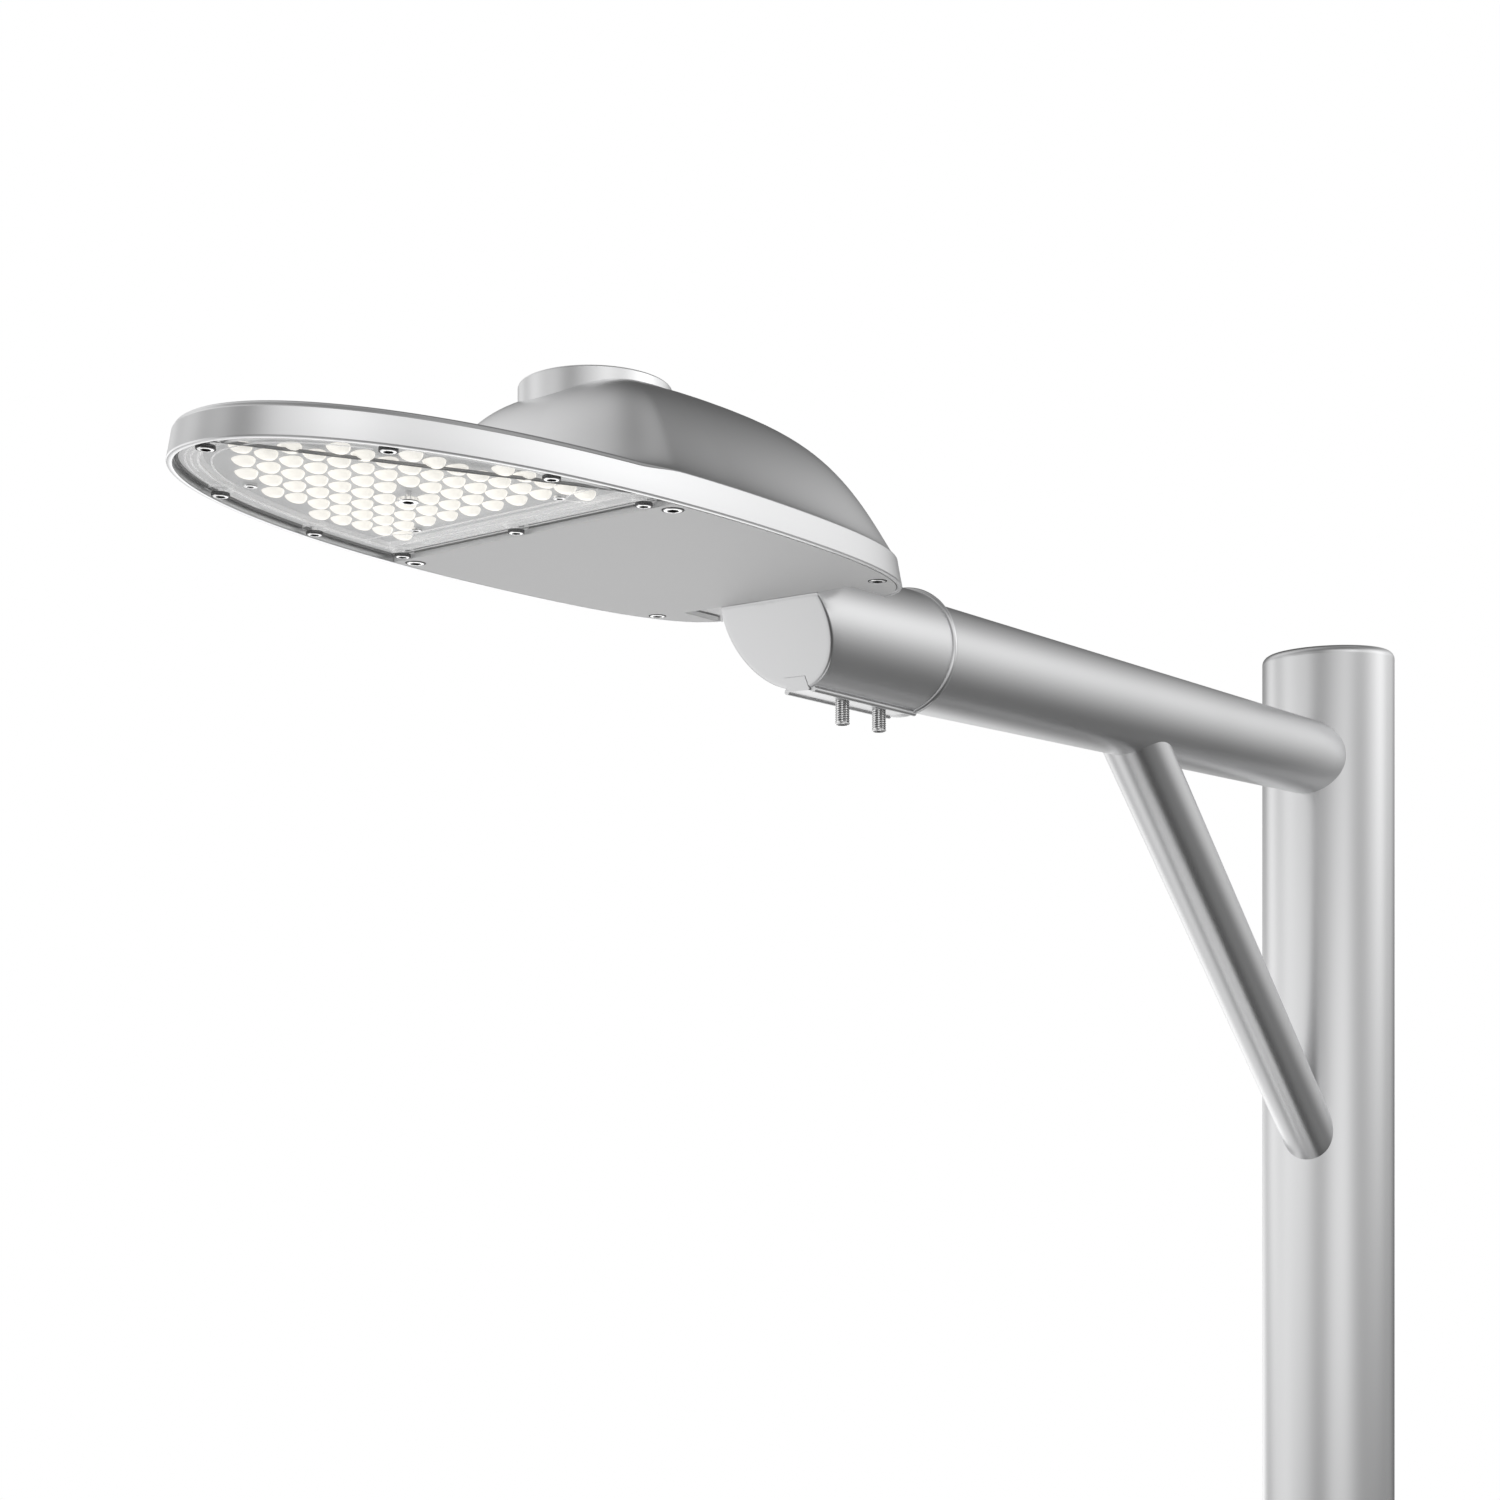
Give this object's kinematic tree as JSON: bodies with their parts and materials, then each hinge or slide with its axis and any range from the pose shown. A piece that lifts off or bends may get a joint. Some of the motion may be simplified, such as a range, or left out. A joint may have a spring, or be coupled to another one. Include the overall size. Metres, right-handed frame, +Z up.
{
  "type": "street lamp post",
  "caption": "Round steel lamp post with a horizontal side arm, a diagonal brace and a flat LED head with a photocontrol on top; hinged service door near the flanged base.",
  "frame": {"origin": "middle of the base plate's underside, on the column's axis", "axes": "+Z up along the column, the arm and the lamp head point along -X, the service door faces -Y"},
  "size_m": [1.535, 0.28, 4],
  "materials": {
    "silver_painted_steel": "satin silver grey paint",
    "silver_painted_aluminium": "satin silver grey paint on a die casting",
    "galvanised_steel": "dull zinc",
    "stainless_steel": "bright",
    "grey_plate": "smooth matt grey",
    "clear_cover": "clear, flat",
    "ivory_lenses": "moulded, lightly translucent",
    "circuit_board": "white solder mask",
    "seal_rubber": "matt",
    "grey_plastic": "matt",
    "black_plastic": "matt",
    "gear_case": "matt off-white",
    "silver_plastic": "satin silver moulding"
  },
  "bodies": {
    "post": {"base_plate": "silver_painted_steel", "base_gusset_1": "silver_painted_steel", "base_gusset_2": "silver_painted_steel", "base_gusset_3": "silver_painted_steel", "base_gusset_4": "silver_painted_steel", "anchor_bolt_1": "galvanised_steel", "anchor_bolt_2": "galvanised_steel", "anchor_bolt_3": "galvanised_steel", "anchor_bolt_4": "galvanised_steel", "anchor_nut_1": "galvanised_steel", "anchor_nut_2": "galvanised_steel", "anchor_nut_3": "galvanised_steel", "anchor_nut_4": "galvanised_steel", "pole_tube": "silver_painted_steel", "pole_cap": "silver_painted_steel", "door_hinge_lug_1": "silver_painted_steel", "door_hinge_lug_2": "silver_painted_steel", "door_hinge_pin": "stainless_steel", "fuse_backboard": "grey_plastic", "fuse_unit": "black_plastic", "supply_terminals": "grey_plastic", "earth_stud": "stainless_steel", "arm_tube": "silver_painted_steel", "arm_spigot": "galvanised_steel", "brace_tube": "silver_painted_steel"},
    "door": {"access_door": "silver_painted_steel"},
    "lock": {"door_lock": "stainless_steel"},
    "head": {"head_casting": "silver_painted_aluminium", "spigot_clamp": "silver_painted_aluminium", "set_screw_1": "stainless_steel", "set_screw_2": "stainless_steel", "lens_cover": "clear_cover", "gear_cover": "grey_plate", "lens_gasket": "seal_rubber", "gear_gasket": "seal_rubber", "lens_screw_1": "stainless_steel", "lens_screw_2": "stainless_steel", "lens_screw_3": "stainless_steel", "lens_screw_4": "stainless_steel", "lens_screw_5": "stainless_steel", "lens_screw_6": "stainless_steel", "lens_screw_7": "stainless_steel", "lens_screw_8": "stainless_steel", "cover_screw_1": "stainless_steel", "cover_screw_2": "stainless_steel", "cover_screw_3": "stainless_steel", "cover_screw_4": "stainless_steel", "led_board": "circuit_board", "lens_array": "ivory_lenses", "board_screw_1": "stainless_steel", "board_screw_2": "stainless_steel", "board_screw_3": "stainless_steel", "board_screw_4": "stainless_steel", "centre_screw": "stainless_steel", "led_driver": "gear_case", "surge_protector": "black_plastic", "terminal_block": "grey_plastic", "cable_gland": "black_plastic", "photocontrol_socket": "black_plastic"},
    "photocontrol": {"photocontrol_cap": "silver_plastic"}
  },
  "joints": [
    {"name": "head_level", "type": "hinge", "parent": "post", "child": "head", "pos_m": [-0.83, 0, 3.886], "axis": [1, 0, 0], "range_deg": [-10, 10]},
    {"name": "photocontrol_twist", "type": "hinge", "parent": "head", "child": "photocontrol", "pos_m": [-1.139, 0, 3.98], "axis": [0, 0, 1], "range_deg": [0, 35]},
    {"name": "door_hinge", "type": "hinge", "parent": "post", "child": "door", "pos_m": [-0.04924, -0.05253, 0.716], "axis": [0, 0, 1], "range_deg": [-110, 0]},
    {"name": "door_lock_turn", "type": "hinge", "parent": "door", "child": "lock", "pos_m": [0.026, -0.05, 0.716], "axis": [0, 1, 0], "range_deg": [0, 90]}
  ]
}
